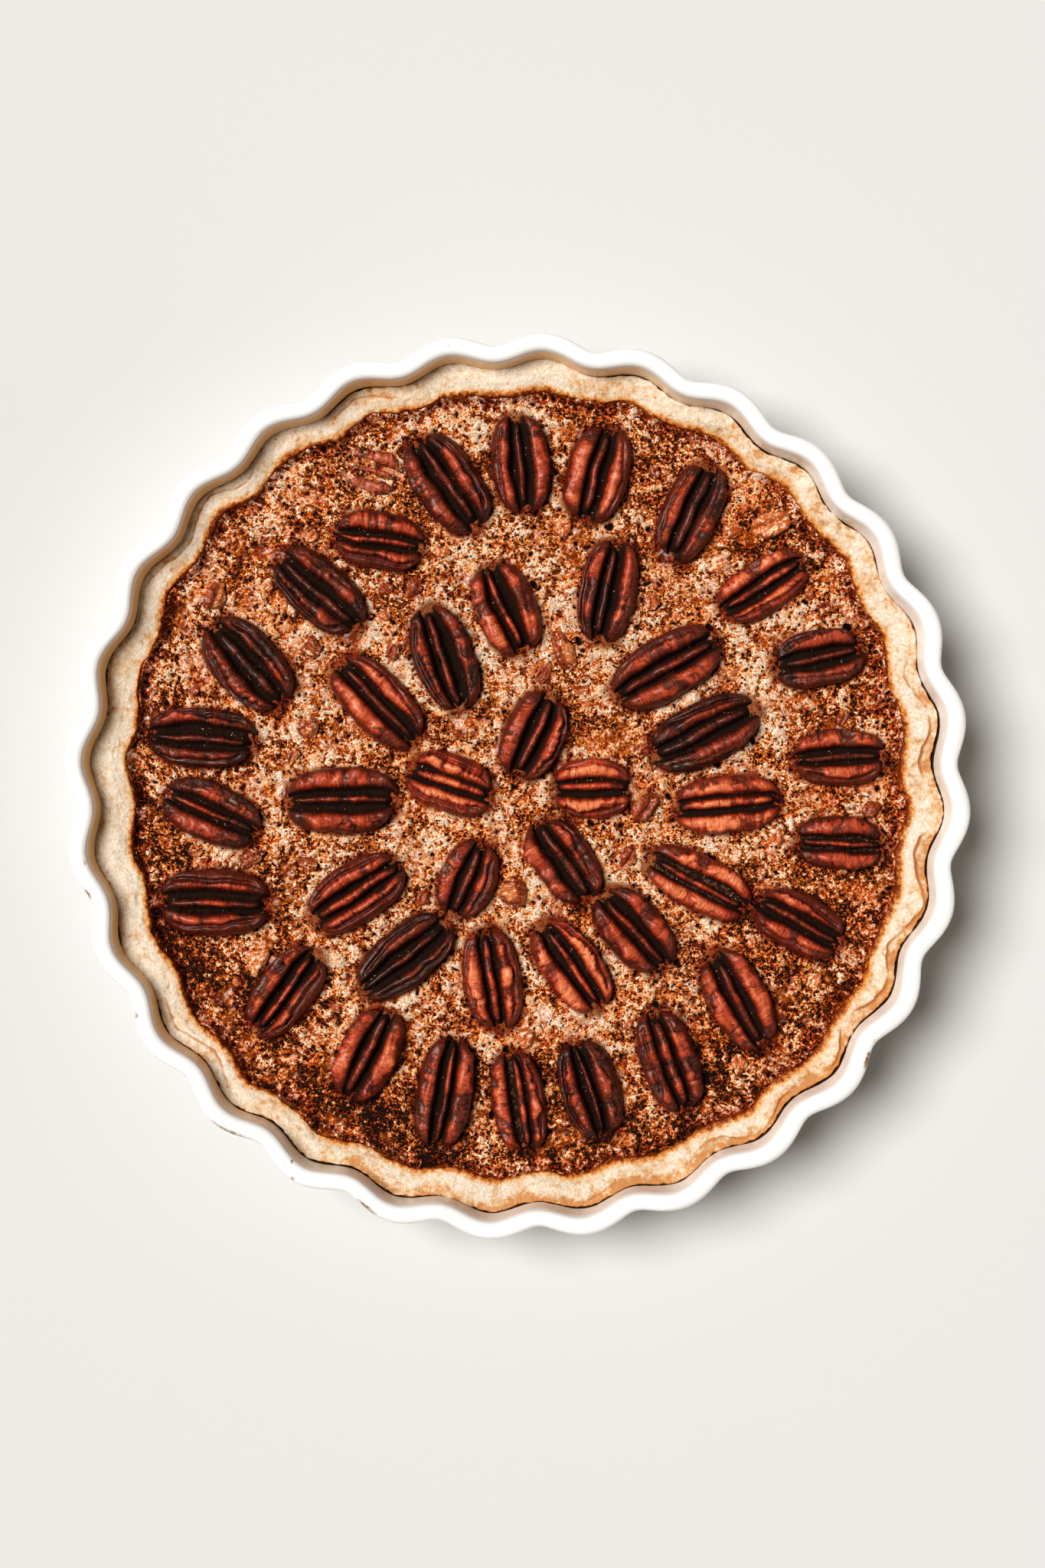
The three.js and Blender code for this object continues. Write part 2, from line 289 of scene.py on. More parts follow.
line = softened(DISH_PROFILE, 2)
angles = 2 * np.pi * np.arange(DISH_STEPS) / DISH_STEPS
reach = line[:, :1] + OUTER_SWING * line[:, 2:3] * tight_wave(angles) + INNER_SWING * line[:, 3:4] * even_wave(angles)
heights = np.broadcast_to(line[:, 1:2], reach.shape)
rings = np.stack([reach * np.cos(angles), reach * np.sin(angles), heights], axis=-1)
casting = eased(heights, 3, 20)
reach = reach - 0.12 * casting * (1 + lumps(rings, 24, 3))
rings = np.stack([reach * np.cos(angles), reach * np.sin(angles), heights], axis=-1)
lip_line = LIP_MIDDLE + INNER_SWING * even_wave(angles)
stains = np.zeros(reach.shape)
for bearing, half_width, outward, strength in BAKED_MARKS:
    aside = (np.degrees(angles) - bearing + 180) % 360 - 180
    across = (reach - lip_line - outward) / 1.1
    stains = np.maximum(stains, strength * np.exp(-((aside / half_width) ** 2) - across**2) * (heights > 30))
inside = (line[:, 3:4] > 0) & (reach < lip_line - 0.5) & (heights > 20)
# Painted warm shade: on the side towards the light the inner wall faces away from it, so it is tinted tan as painted
# shade and warm light bounced from the pastry.
shaded_wall_side = eased(np.cos(angles - math.radians(148)), math.cos(math.radians(105)), math.cos(math.radians(60)))
painted_warm_shade = inside * eased(-heights, -36.6, -34.4) * shaded_wall_side
dish = new_piece(
    "tart_dish_glazed",
    rings.reshape(-1, 3),
    ring_faces(*reach.shape),
    {
        "baked_on": stains.ravel(),
        "painted_warm_shade": painted_warm_shade.ravel(),
        "inside": np.asarray(inside, float).ravel(),
        "bare_foot": eased(-heights, -0.5, -0.15).ravel(),
    },
)

glaze, tree, shader = start_finish("white_glaze")
place = add_node(tree, "TexCoord").outputs["Object"]
cloud = mottle(tree, place, 30, 2)
white = blend(tree, between(tree, cloud, 0.3, 0.7), colour(245, 244, 242), colour(240, 239, 236))
specks = add_node(tree, "TexVoronoi", {"Vector": place, "Scale": 1 / (9 * MM)}).outputs["Distance"]
white = blend(tree, between(tree, specks, 0.035, 0.02, 0, 0.5), white, colour(150, 132, 112))
# Painted warm shade on the inner wall's shaded side.
white = blend(tree, sums(tree, "MULTIPLY", mark(tree, "painted_warm_shade"), 0.9), white, colour(252, 212, 154))
# A dark brown line painted low on the inner wall, just above the pastry: painted shade of the gap between pastry and
# dish.
level = add_node(tree, "SeparateXYZ", {"Vector": place}).outputs["Z"]
level = sums(tree, "ADD", level, between(tree, mottle(tree, place, 6, 3), 0.3, 0.7, -0.25 * MM, 0.25 * MM))
painted_gap_shade = sums(tree, "MULTIPLY", between(tree, level, 29.3 * MM, 28.7 * MM), mark(tree, "inside"))
white = blend(tree, painted_gap_shade, white, colour(104, 66, 32))
scorch_edge = mottle(tree, place, 1.6, 4, 0.7)
scorch = between(tree, sums(tree, "MULTIPLY", mark(tree, "baked_on"), scorch_edge), 0.16, 0.42)
scorch_tint = blend(tree, mottle(tree, place, 3, 2), colour(196, 160, 112), colour(120, 84, 50))
white = blend(tree, scorch, white, scorch_tint)
white = blend(tree, mark(tree, "bare_foot"), white, colour(205, 198, 186))
tree.links.new(white, shader.inputs["Base Color"])
rough = between(tree, sums(tree, "MAXIMUM", scorch, mark(tree, "bare_foot")), 0, 1, 0.16, 0.7)
tree.links.new(rough, shader.inputs["Roughness"])
shader.inputs["Coat Weight"].default_value = 0.35
shader.inputs["Coat Roughness"].default_value = 0.08
pooling = relief(tree, mottle(tree, place, 9, 2), 0.12)
tree.links.new(relief(tree, sums(tree, "MULTIPLY", scorch, scorch_edge), 0.3, pooling), shader.inputs["Normal"])
stick(dish, "porcelain", glaze, "tart_dish")

# ---- Pastry case ---------------------------------------------------------------------------------------
# Shortcrust rolled out, pressed into the dish by hand and trimmed level, then baked pale with golden
# patches. It has shrunk from the dish, and syrup has soaked into its inner edge.

CASE_TOP = 29.3
CASE_GAP = 0.2
CASE_FLOOR = 9.35
FILLING_TOP = 25
EDGE_SWING = 1.1
CASE_STEPS = FLUTES * 45


def hand_wander(angle):
    """Where the cook pressed the pastry thicker or thinner, in mm."""
    four_thumbs = 1.1 * np.cos(4 * (angle - math.radians(48)))
    return four_thumbs - 0.7 * np.cos(2 * angle) + 0.5 * np.sin(angle)


def hollow_radius(height):
    return 121.3 - 5 * (FILLING_TOP - height) / (FILLING_TOP - CASE_FLOOR)


def ragged_edge(angle):
    """The small unevenness of the pastry's inner edge, in mm."""
    places = np.stack([np.cos(angle), np.sin(angle), np.zeros(angle.shape)], axis=-1) * 121
    return 0.55 * lumps(places, 9, 41) + 0.4 * lumps(places, 3.4, 42) + 0.2 * lumps(places, 1.5, 43)


def case_outer(height):
    return inner_radius(height) - CASE_GAP


BAND_MIDDLE = (case_outer(CASE_TOP) + hollow_radius(FILLING_TOP)) / 2
# Rows are radius, height, share of the flutes, share of the filling's edge, steps to the next row.
CASE_PROFILE = [
    (1, 5.35, 0, 0, 1),
    (case_outer(9.4) - 3.6, 5.35, 0.3, 0, 2),
    (case_outer(9.4), 9.4, 0.6, 0, 3),
    (case_outer(25), 25, 0.86, 0, 8),
    (case_outer(28.3), 28.3, 0.88, 0, 5),
    (case_outer(29.3) - 0.7, 29.0, 0.86, 0, 14),
    (BAND_MIDDLE, 29.15, 0.4, 0.35, 18),
    (hollow_radius(25) + 1.0, 28.3, 0, 1, 10),
    (hollow_radius(25) - 0.1, 24.4, 0, 1, 2),
    (hollow_radius(CASE_FLOOR), CASE_FLOOR, 0, 0, 1),
    (1, CASE_FLOOR, 0, 0, 0),
]

line = softened(CASE_PROFILE, 2)
angles = 2 * np.pi * np.arange(CASE_STEPS) / CASE_STEPS
edge = EDGE_SWING * even_wave(angles) + hand_wander(angles) + ragged_edge(angles)
pressed = 0.6 * eased(np.cos(angles - math.radians(150)), math.cos(math.radians(85)), math.cos(math.radians(45)))
reach = line[:, :1] + line[:, 2:3] * (INNER_SWING * even_wave(angles) + pressed) + line[:, 3:4] * edge
heights = np.broadcast_to(line[:, 1:2], reach.shape)
slope = np.gradient(line[:, :2], axis=0)
normal = np.stack([slope[:, 1], -slope[:, 0]], axis=-1)
normal /= np.linalg.norm(normal, axis=-1, keepdims=True)
shown = eased(heights, 25, 27.5) * (np.abs(reach - 127) < 9)
rings = np.stack([reach * np.cos(angles), reach * np.sin(angles), heights], axis=-1)
outer_edge = case_outer(CASE_TOP) + 0.86 * (INNER_SWING * even_wave(angles) + pressed)
inward = outer_edge - reach  # across the band, from its outer edge, mm
width = outer_edge - (hollow_radius(25) + 1.1 + edge)

# The fold where the trimmed dough was turned in: its place across the band and how strongly it shows.
turn = np.degrees(angles)
ring_places = np.stack([np.cos(angles), np.sin(angles), np.zeros(angles.shape)], axis=-1) * 127
fold_line = 3.3 - 0.9 * even_wave(angles) + 1.2 * lumps(ring_places, 17, 51)
fold_line += 0.8 * lumps(ring_places, 5, 52) + 0.4 * lumps(ring_places, 2, 53)
right_side = eased(np.cos(np.radians(turn - 335)), math.cos(math.radians(44)), math.cos(math.radians(26)))
elsewhere = 0.4 * eased(lumps(ring_places, 24, 54), 0.3, 0.7)
fold = np.maximum(right_side * eased(lumps(ring_places, 9, 55), -0.55, 0.3), elsewhere)
outside_fold = eased(fold_line - inward, -0.35, 0.35) * fold
crease = np.exp(-(((inward - fold_line) / 0.4) ** 2)) * fold

dough = 0.42 * lumps(rings, 15, 61) + 0.34 * crags(rings, 6, 3, 62) + 0.13 * crags(rings, 1.7, 2, 65)
pits = np.clip(lumps(rings, 1.9, 67) - 0.45, 0, 1) * 0.9
flakes = eased(-inward, -1.9, -0.3) * (0.35 * np.abs(lumps(rings * [1, 1, 2.5], 2.4, 68)) + 0.2 * lumps(rings, 1.1, 69))
raised = shown * (dough - pits + flakes - 0.8 * crease - 0.5 * outside_fold)
raised += 0.25 * eased(heights, 20, 25) * (1 - shown) * crags(rings, 3, 2, 70) * (inward > -2) * (inward < 4)
reach = reach + raised * normal[:, :1]
heights = np.minimum(heights + raised * normal[:, 1:2], CASE_TOP + 0.9)
rings = np.stack([reach * np.cos(angles), reach * np.sin(angles), heights], axis=-1)

soak_reach = 0.3 + 0.8 * lumps(ring_places, 8, 71) + 0.5 * right_side  # how far the syrup crept up, mm
soaked = eased(inward - width + soak_reach, -2.5, 1.6)
# Toasting near the band's edge, stronger towards bearing 280 degrees. On the side towards the light it is painted
# paler, as painted light over the shadow the dish wall casts there.
painted_light_side = eased(np.cos(angles - math.radians(188)), 0.2, 0.8)
near_side = (1 + np.cos(angles - math.radians(280))) / 2
toasting_and_painted_light = (1 - 0.8 * painted_light_side) * eased(reach, 118, 125) * (0.3 + 1.4 * near_side * eased(-inward, -5.5, -0.5))
rim_brown = eased(-inward, -1.1, -0.1) * (0.7 + 0.3 * lumps(ring_places, 7, 72))
browned = np.clip(0.4 * outside_fold + 1.3 * crease + rim_brown, 0, 1)
pastry = new_piece(
    "pastry_case_baked",
    rings.reshape(-1, 3),
    ring_faces(*reach.shape),
    {
        "soaked": np.clip(soaked, 0, 1.3).ravel(),
        "browned": browned.ravel(),
        "toasting_and_painted_light": toasting_and_painted_light.ravel(),
        "crumb_high": (shown * raised).ravel(),
    },
)

crust, tree, shader = start_finish("baked_shortcrust")
place = add_node(tree, "TexCoord").outputs["Object"]
grain = mottle(tree, place, 0.9, 4, 0.7)
crumbs = mottle(tree, place, 1.7, 3, 0.65, 0.5)
patches = mottle(tree, place, 5, 4, 0.65, 0.4)
broad = mottle(tree, place, 22, 2, 0.5)
pale = blend(tree, between(tree, grain, 0.32, 0.66), colour(220, 202, 178), colour(238, 226, 212))
pale = blend(tree, between(tree, crumbs, 0.48, 0.28, 0, 0.45), pale, colour(212, 186, 150))
golden = sums(tree, "ADD", sums(tree, "MULTIPLY", patches, 0.5), sums(tree, "MULTIPLY", broad, 0.2))
# Low places in the crumb are painted a little more golden, as painted shade.
painted_dip_shade = between(tree, mark(tree, "crumb_high"), 0.35, -0.45)
golden = sums(tree, "ADD", golden, sums(tree, "MULTIPLY", painted_dip_shade, 0.08))
golden = sums(tree, "ADD", golden, sums(tree, "MULTIPLY", crumbs, 0.45))
# Toasting, with less of it on the lit side as painted light.
golden = sums(tree, "ADD", golden, sums(tree, "MULTIPLY", mark(tree, "toasting_and_painted_light"), 0.13))
pale = blend(tree, between(tree, golden, 0.59, 0.75, 0, 0.75), pale, colour(212, 172, 126))
pale = blend(tree, between(tree, golden, 0.70, 0.82, 0, 0.8), pale, colour(192, 130, 68))
edge_brown = sums(tree, "MULTIPLY", mark(tree, "browned"), between(tree, patches, 0.2, 0.6, 0.5, 1.2))
pale = blend(tree, between(tree, edge_brown, 0.1, 0.8, 0, 0.9), pale, colour(184, 124, 66))
spots = add_node(tree, "TexVoronoi", {"Vector": place, "Scale": 1 / (4.2 * MM), "Randomness": 1.0}).outputs["Distance"]
pale = blend(tree, between(tree, spots, 0.10, 0.05, 0, 0.55), pale, colour(158, 106, 56))
flecking = mottle(tree, place, 0.8, 3, 0.75)
pale = blend(tree, between(tree, flecking, 0.60, 0.68, 0, 0.5), pale, colour(198, 150, 96))
creep = between(tree, mottle(tree, place, 1.6, 4, 0.7), 0.3, 0.7, -0.28, 0.28)
creep = sums(tree, "MULTIPLY", creep, between(tree, mark(tree, "soaked"), 0.05, 0.5))
syrup = sums(tree, "ADD", mark(tree, "soaked"), creep)
pale = blend(tree, between(tree, syrup, 0.04, 0.42, 0, 0.6), pale, colour(220, 166, 96))
pale = blend(tree, between(tree, syrup, 0.36, 0.68, 0, 0.92), pale, colour(204, 124, 32))
pale = blend(tree, between(tree, syrup, 0.66, 0.95, 0, 0.97), pale, colour(130, 50, 4))
tree.links.new(pale, shader.inputs["Base Color"])
tree.links.new(between(tree, syrup, 0.5, 1.0, 0.8, 0.5), shader.inputs["Roughness"])
pores = relief(tree, grain, 0.2, relief(tree, crumbs, 0.42))
tree.links.new(relief(tree, mottle(tree, place, 0.45, 2), 0.06, pores), shader.inputs["Normal"])
stick(pastry, "pastry", crust, "pastry_case")

# ---- Filling -------------------------------------------------------------------------------------------
# Eggs, sugar and syrup baked to a set custard under a thin crackled foam, pale where it blistered, amber
# where the syrup shows, and burst into small holes. It runs down to the pastry.

FILLING_RINGS = 198
FILLING_RADIUS = 121.3 + 0.9  # reaches into the pastry, so that no gap shows
POCKET_FLOOR = 22.8
NUT_BLUNTNESS = 2.4


def nut_lie(node):
    """Middle, direction outwards, half length, half width, underside and top of a half, from its solid."""
    points = np.array([corner.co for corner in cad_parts[node].data.vertices]) / MM
    flat = points[:, :2] - (points[:, :2].min(axis=0) + points[:, :2].max(axis=0)) / 2
    _, _, axes = np.linalg.svd(flat - flat.mean(axis=0), full_matrices=False)
    along = axes[0]
    outwards = points[:, :2].mean(axis=0)
    if along @ outwards < 0:
        along = -along
    across = np.array([-along[1], along[0]])
    spans = [(points[:, :2] @ axis).min() for axis in (along, across)]
    ends = [(points[:, :2] @ axis).max() for axis in (along, across)]
    middle = along * (spans[0] + ends[0]) / 2 + across * (spans[1] + ends[1]) / 2
    half_length, half_width = (ends[0] - spans[0]) / 2, (ends[1] - spans[1]) / 2
    return middle, along, half_length, half_width, points[:, 2].min(), points[:, 2].max()


def nut_sides(lie, x, y):
    """Places from the middle of a half, in mm along it and across it."""
    middle, along = lie[:2]
    dx, dy = x - middle[0], y - middle[1]
    return dx * along[0] + dy * along[1], dy * along[0] - dx * along[1]


def beyond(along, across, half_length, half_width):
    """Rough distance outside a blunt oval, in mm, negative inside it."""
    powers = np.abs(along / half_length) ** NUT_BLUNTNESS + np.abs(across / half_width) ** NUT_BLUNTNESS
    return (powers ** (1 / NUT_BLUNTNESS) - 1) * half_width


def nearest(places, spacing, seed):
    """For scattered spots about `spacing` apart: the distance to the nearest, and that spot's own number."""
    cells = np.floor(places / spacing).astype(np.int64)
    cells[..., 2] = 0
    closest = np.full(places.shape[:-1], 1e9)
    number = np.zeros(places.shape[:-1])
    for dx, dy in itertools.product((-1, 0, 1), repeat=2):
        cell = cells + [dx, dy, 0]
        spot_x = (cell[..., 0] + scattered(cell, seed)) * spacing
        spot_y = (cell[..., 1] + scattered(cell, seed + 1)) * spacing
        distance = np.hypot(places[..., 0] - spot_x, places[..., 1] - spot_y)
        nearer = distance < closest
        closest = np.where(nearer, distance, closest)
        number = np.where(nearer, scattered(cell, seed + 2), number)
    return closest, number


def honeycomb_disc(rings):
    """Points of a unit disc in rings of 6, 12, 18... round a middle, and the triangles between them."""
    points = [np.zeros((1, 2))]
    triangles = []
    for ring in range(1, rings + 1):
        turns = 2 * np.pi * np.arange(6 * ring) / (6 * ring)
        points.append(np.stack([np.cos(turns), np.sin(turns)], axis=-1) * ring / rings)
        outer_start, inner_start = 1 + 3 * ring * (ring - 1), 1 + 3 * (ring - 1) * (ring - 2)
        inner_count = max(6 * (ring - 1), 1)
        if ring == 1:
            inner_start = 0
        sector, step = np.meshgrid(np.arange(6), np.arange(ring), indexing="ij")
        outer = outer_start + (sector * ring + step)
        outer_next = outer_start + (sector * ring + step + 1) % (6 * ring)
        inner = inner_start + (sector * (ring - 1) + step) % inner_count
        inner_next = inner_start + (sector * (ring - 1) + step + 1) % inner_count
        triangles.append(np.stack([inner, outer, outer_next], axis=-1).reshape(-1, 3))
        closing = np.stack([inner, outer_next, inner_next], axis=-1)[:, : ring - 1]
        triangles.append(closing.reshape(-1, 3))
    return np.concatenate(points), np.concatenate(triangles)


nut_names = sorted(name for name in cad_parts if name.startswith("pecan_"))
lies = {name: nut_lie(name) for name in nut_names}

flat, triangles = honeycomb_disc(FILLING_RINGS)
spokes = np.arctan2(flat[:, 1], flat[:, 0])
share = np.hypot(flat[:, 0], flat[:, 1])
edge = EDGE_SWING * even_wave(spokes) + hand_wander(spokes) + ragged_edge(spokes)
reach = share * (FILLING_RADIUS + edge * share**4)
places = np.stack([reach * np.cos(spokes), reach * np.sin(spokes), np.zeros(reach.shape)], axis=-1)
from_crust = FILLING_RADIUS - 0.9 + edge - reach  # distance in from the pastry, mm

beside = np.full(reach.shape, 1e9)  # distance to the nearest half, mm
in_pocket = np.full(reach.shape, -1e9)
at_tips = np.zeros(reach.shape)
for lie in lies.values():
    along, across = nut_sides(lie, places[:, 0], places[:, 1])
    half_length, half_width = lie[2:4]
    beside = np.minimum(beside, beyond(along, across, half_length, half_width))
    in_pocket = np.maximum(in_pocket, -beyond(along, across, half_length - 2.6, half_width - 1.2))
    near = np.hypot(np.abs(along) - half_length + 1.2, across) < 6
    at_tips = np.maximum(at_tips, near * eased(-np.abs(np.hypot(np.abs(along) - half_length + 1, across * 0.7)), -4, -0.5))

wavy = places + 0.9 * np.stack([lumps(places, 2.6, 101), lumps(places, 2.6, 102), 0 * reach], axis=-1)
blister_far, blister = nearest(wavy, 1.9, 103)
blisters = np.clip(1 - (blister_far / 1.15) ** 2, 0, 1) * (0.35 + 0.65 * blister)
swells = 0.4 * lumps(places, 13, 106) + 0.5 * crags(places, 5, 3, 107)
froth = 0.55 * blisters + 0.45 * crags(wavy, 1.9, 2, 110)
hole_far, hole = nearest(wavy, 3.7, 112)
hole_size = np.where(hole > 0.4, 0.2 + 0.45 * (hole - 0.4) / 0.6, 0)
holes = eased(hole_size - hole_far, -0.25, 0.3) * (hole_size > 0)
wide_far, wide = nearest(wavy, 11, 115)
wide_size = np.where(wide > 0.6, 0.4 + 0.7 * (wide - 0.6) / 0.4, 0)
wide_size *= 0.55 + 0.6 * eased(-beside, -4, -0.5)
holes = np.maximum(holes, eased(wide_size - wide_far, -0.3, 0.35) * (wide_size > 0))
burnt_edge = eased(-from_crust + 1.3 * lumps(places, 7, 118), -4.2, -0.8)
edge_far, edge_hole = nearest(wavy, 2.7, 119)
edge_size = np.where(edge_hole > 0.45, 0.2 + 0.5 * edge_hole, 0) * burnt_edge
holes = np.maximum(holes, eased(edge_size - edge_far, -0.3, 0.35) * (edge_size > 0.2))
near_side = (1 + np.cos(spokes - math.radians(270))) / 2
well_baked = eased(reach + 7 * lumps(places, 16, 117), 62, 118) * (0.3 + 0.7 * near_side)
jelly = eased(lumps(wavy, 6.5, 121) + 0.5 * lumps(wavy, 2.8, 122), 0.3, 0.75)

top = FILLING_TOP + swells + froth * (1 - 0.75 * jelly) - 0.25 * jelly
top -= 1.5 * holes + (0.3 - 0.35 * crags(wavy, 1.4, 2, 126)) * burnt_edge
top += 2.3 * eased(-from_crust, -1.1, 0.7) + 0.75 * at_tips * (0.8 + 0.5 * lumps(places, 2.2, 124))
top += 0.3 * eased(-beside, -1.5, 0.2)
hidden = eased(in_pocket, 0.0, 0.9)
top = top * (1 - hidden) + POCKET_FLOOR * hidden
points = np.concatenate([places[:, :2], top[:, None]], axis=1)

# The hidden sides and underside.
outline = np.arange(len(points) - 6 * FILLING_RINGS, len(points))
turns = spokes[outline]
faces = triangles.tolist()
upper = outline
for height in (22, CASE_FLOOR + 0.4):
    wall = hollow_radius(height) + 0.4 + edge[outline] * eased(height, CASE_FLOOR, FILLING_TOP) - 0.5
    lower = np.arange(len(points), len(points) + len(outline))
    points = np.concatenate([points, np.stack([wall * np.cos(turns), wall * np.sin(turns), 0 * wall + height], axis=-1)])
    after = np.roll(np.arange(len(outline)), -1)
    faces += np.stack([upper, lower, lower[after], upper[after]], axis=-1).tolist()
    upper = lower
faces.append(upper.tolist()[::-1])
spare = len(points) - len(reach)


def with_walls(values, under=0.0):
    return np.concatenate([values, np.full(spare, under)])


filling = new_piece(
    "filling_baked",
    points,
    faces,
    {
        "blistered": with_walls(eased(froth + 0.35 * lumps(places, 9, 130), -0.05, 0.62)),
        "jelly": with_walls(jelly),
        "burst": with_walls(np.clip(holes, 0, 1)),
        # Painted shade on the filling round each half.
        "painted_shade_by_nut": with_walls(eased(-beside + 0.6 * lumps(places, 4, 131), -1.5, 0.1)),
        "burnt_edge": with_walls(burnt_edge),
        "well_baked": with_walls(well_baked),
    },
)
merge = filling.modifiers.new("pocket floors", "DECIMATE")
merge.decimate_type = "DISSOLVE"
merge.angle_limit = math.radians(0.4)
with bpy.context.temp_override(object=filling, active_object=filling, selected_objects=[filling]):
    bpy.ops.object.modifier_apply(modifier=merge.name)
filling.data.shade_smooth()

foam, tree, shader = start_finish("crackled_custard")
place = add_node(tree, "TexCoord").outputs["Object"]
fine = mottle(tree, place, 0.55, 3, 0.75, 0.4)
flecks = mottle(tree, place, 1.1, 3, 0.65, 0.4)
islands = mottle(tree, place, 3.6, 3, 0.6, 0.4)
clouds = mottle(tree, place, 13, 2, 0.5)
shaken = add_node(tree, "TexNoise", {"Vector": place, "Scale": 1 / (1.6 * MM)}).outputs["Color"]
shaken = add_node(tree, "VectorMath", {0: shaken, "Scale": 1.4 * MM}, operation="SCALE").outputs[0]
shaken = add_node(tree, "VectorMath", {0: place, 1: shaken}, operation="ADD").outputs[0]
flake = sums(tree, "ADD", sums(tree, "MULTIPLY", mark(tree, "blistered"), 0.2), sums(tree, "MULTIPLY", flecks, 0.85))
flake = sums(tree, "ADD", flake, sums(tree, "MULTIPLY", fine, 0.6))
flake = sums(tree, "ADD", flake, sums(tree, "MULTIPLY", islands, 0.22))
flake = sums(tree, "ADD", flake, between(tree, clouds, 0.3, 0.7, -0.04, 0.04))
flake = sums(tree, "SUBTRACT", flake, sums(tree, "MULTIPLY", mark(tree, "well_baked"), 0.13))
cream = blend(tree, between(tree, fine, 0.38, 0.52), colour(214, 140, 70), colour(255, 240, 220))
look = blend(tree, between(tree, flake, 0.74, 0.855), colour(44, 17, 6), colour(218, 116, 28))
look = blend(tree, between(tree, flake, 0.86, 0.93), look, colour(246, 170, 88))
look = blend(tree, between(tree, flake, 0.91, 0.96), look, cream)
amber = blend(tree, between(tree, flecks, 0.35, 0.65), colour(180, 78, 10), colour(236, 142, 44))
look = blend(tree, sums(tree, "MULTIPLY", mark(tree, "jelly"), between(tree, fine, 0.3, 0.55, 0.9, 0.3)), look, amber)
scorched = blend(tree, between(tree, flake, 0.72, 0.88), colour(44, 16, 5), colour(206, 96, 18))
scorched = blend(tree, between(tree, flake, 0.92, 0.97), scorched, cream)
look = blend(tree, between(tree, mark(tree, "burnt_edge"), 0.1, 1.0, 0, 0.85), look, scorched)
look = blend(tree, between(tree, mottle(tree, place, 7, 3), 0.48, 0.62, 0, 0.6), look, colour(255, 214, 158), "MULTIPLY")
look = blend(tree, between(tree, mottle(tree, place, 4.5, 3), 0.57, 0.66, 0, 0.7), look, colour(206, 138, 92), "MULTIPLY")
# Painted shade where the filling meets the halves.
look = blend(tree, mark(tree, "painted_shade_by_nut"), look, colour(172, 126, 90), "MULTIPLY")
# Dark syrup shows in the burst holes; their near-black middles are painted shade.
look = blend(tree, between(tree, mark(tree, "burst"), 0.05, 0.35, 0, 0.8), look, colour(150, 66, 14))
look = blend(tree, between(tree, mark(tree, "burst"), 0.35, 0.75), look, colour(30, 11, 4))
# Tiny pinholes: near-black dots with no depth of their own, as painted shade.
pinholes = add_node(tree, "TexVoronoi", {"Vector": shaken, "Scale": 1 / (2.1 * MM)}).outputs["Distance"]
look = blend(tree, between(tree, pinholes, 0.22, 0.15, 0, 0.95), look, colour(32, 12, 5))
tree.links.new(look, shader.inputs["Base Color"])
tree.links.new(between(tree, mark(tree, "jelly"), 0, 1, 0.5, 0.22), shader.inputs["Roughness"])
shiny = sums(tree, "MULTIPLY", mark(tree, "jelly"), between(tree, mark(tree, "burst"), 0.2, 0.6, 0.5, 0))
tree.links.new(shiny, shader.inputs["Coat Weight"])
shader.inputs["Coat Roughness"].default_value = 0.2
shader.inputs["Specular IOR Level"].default_value = 0.35
crackle = relief(tree, flake, 0.9)
crackle = relief(tree, between(tree, pinholes, 0.1, 0.2), 0.3, crackle)
tree.links.new(crackle, shader.inputs["Normal"])
stick(filling, "filling", foam, "filling")

# ---- Pecan halves --------------------------------------------------------------------------------------
# Roasted pecan halves laid flat side down in three rings. Each has two round lobes and a middle ridge, with
# deep furrows between them where syrup has gathered, and wrinkles across the lobes.

NUT_STATIONS = 88
NUT_TOP_STEPS = 54
NUT_UNDER_STEPS = 8

